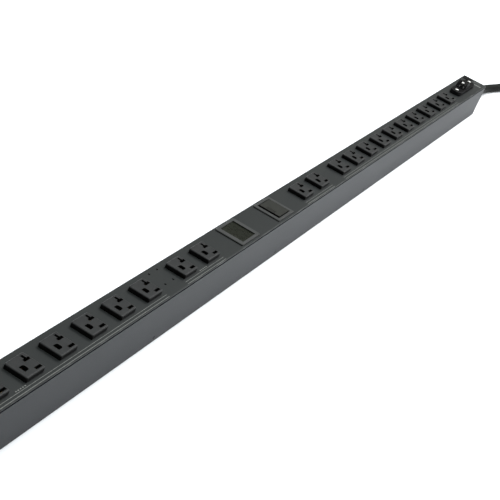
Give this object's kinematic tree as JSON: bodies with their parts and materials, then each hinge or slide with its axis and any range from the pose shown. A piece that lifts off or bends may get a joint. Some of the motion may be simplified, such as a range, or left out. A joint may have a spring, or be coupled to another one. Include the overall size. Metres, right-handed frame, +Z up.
{
  "type": "rack power strip",
  "caption": "Long slim metal rack power strip with grounded outlets in two banks, a meter window, a hinged breaker bay, a guarded main breaker and a heavy cord.",
  "frame": {"origin": "on the supporting surface under the middle of the housing, which lies on its back", "axes": "+X along the housing towards the cord end, +Z up out of the outlet face, +Y towards the neutral side of the outlets"},
  "size_m": [2.334, 0.1265, 0.072],
  "materials": {
    "housing_paint": "satin",
    "outlet_plastic": "fine satin",
    "bezel_plastic": "satin",
    "smoked_lens": "smoked, glossy",
    "circuit_board": "printed board",
    "display": "dark red, unlit",
    "door_plastic": "matte",
    "breaker_plastic": "satin",
    "rocker_plastic": "semi-gloss",
    "toggle_plastic": "semi-gloss",
    "bright_steel": "nickel plated",
    "plated_steel": "zinc plated",
    "dark_steel": "black oxide",
    "bar_brass": "bright",
    "insulator": "matte",
    "wire_cover": "matte",
    "gland_plastic": "moulded",
    "cord_cover": "satin",
    "tie_fabric": "hook and loop",
    "plug_plastic": "moulded"
  },
  "bodies": {
    "housing": {"bar_carrier": "insulator", "bay_housing": "bezel_plastic", "branch_breakers": "breaker_plastic", "cord_gland": "gland_plastic", "cord_hank": "cord_cover", "current_sensor": "insulator", "end_cap_cord": "housing_paint", "end_cap_near": "housing_paint", "end_cap_screws": "dark_steel", "feed_wire": "wire_cover", "front_cover": "housing_paint", "gland_nut": "gland_plastic", "ground_bar": "bar_brass", "ground_stud": "plated_steel", "hank_ties": "tie_fabric", "housing_channel": "housing_paint", "line_bars": "bar_brass", "main_breaker": "breaker_plastic", "main_breaker_guard": "breaker_plastic", "main_breaker_screws": "bright_steel", "meter_board": "circuit_board", "meter_case": "bezel_plastic", "meter_display": "display", "meter_lens": "smoked_lens", "mount_inserts": "plated_steel", "neutral_bar": "bar_brass", "outlet_01": "outlet_plastic", "outlet_02": "outlet_plastic", "outlet_03": "outlet_plastic", "outlet_04": "outlet_plastic", "outlet_05": "outlet_plastic", "outlet_06": "outlet_plastic", "outlet_07": "outlet_plastic", "outlet_08": "outlet_plastic", "outlet_09": "outlet_plastic", "outlet_10": "outlet_plastic", "outlet_11": "outlet_plastic", "outlet_12": "outlet_plastic", "outlet_13": "outlet_plastic", "outlet_14": "outlet_plastic", "outlet_15": "outlet_plastic", "outlet_16": "outlet_plastic", "outlet_17": "outlet_plastic", "outlet_18": "outlet_plastic", "outlet_19": "outlet_plastic", "outlet_20": "outlet_plastic", "outlet_21": "outlet_plastic", "outlet_22": "outlet_plastic", "outlet_23": "outlet_plastic", "outlet_24": "outlet_plastic", "plug_blades": "bar_brass", "plug_body": "plug_plastic", "power_cord": "cord_cover", "side_screws": "dark_steel", "strain_relief": "cord_cover", "terminal_block": "insulator"},
    "main_toggle": {"main_toggle": "toggle_plastic"},
    "bay_door": {"bay_door": "door_plastic"},
    "branch_rocker_1": {"branch_rocker_1": "rocker_plastic"},
    "branch_rocker_2": {"branch_rocker_2": "rocker_plastic"}
  },
  "joints": [
    {"name": "main_toggle_tilt", "type": "hinge", "parent": "housing", "child": "main_toggle", "pos_m": [0.753, 0, 0.057], "axis": [0, 1, 0], "range_deg": [0, 40]},
    {"name": "bay_door_hinge", "type": "hinge", "parent": "housing", "child": "bay_door", "pos_m": [0.00495, 0, 0.0569], "axis": [0, 1, 0], "range_deg": [0, 100]},
    {"name": "branch_rocker_1_tilt", "type": "hinge", "parent": "housing", "child": "branch_rocker_1", "pos_m": [-0.0093, 0.0074, 0.044], "axis": [0, 1, 0], "range_deg": [0, 20]},
    {"name": "branch_rocker_2_tilt", "type": "hinge", "parent": "housing", "child": "branch_rocker_2", "pos_m": [-0.0093, -0.0074, 0.044], "axis": [0, 1, 0], "range_deg": [0, 20]}
  ]
}
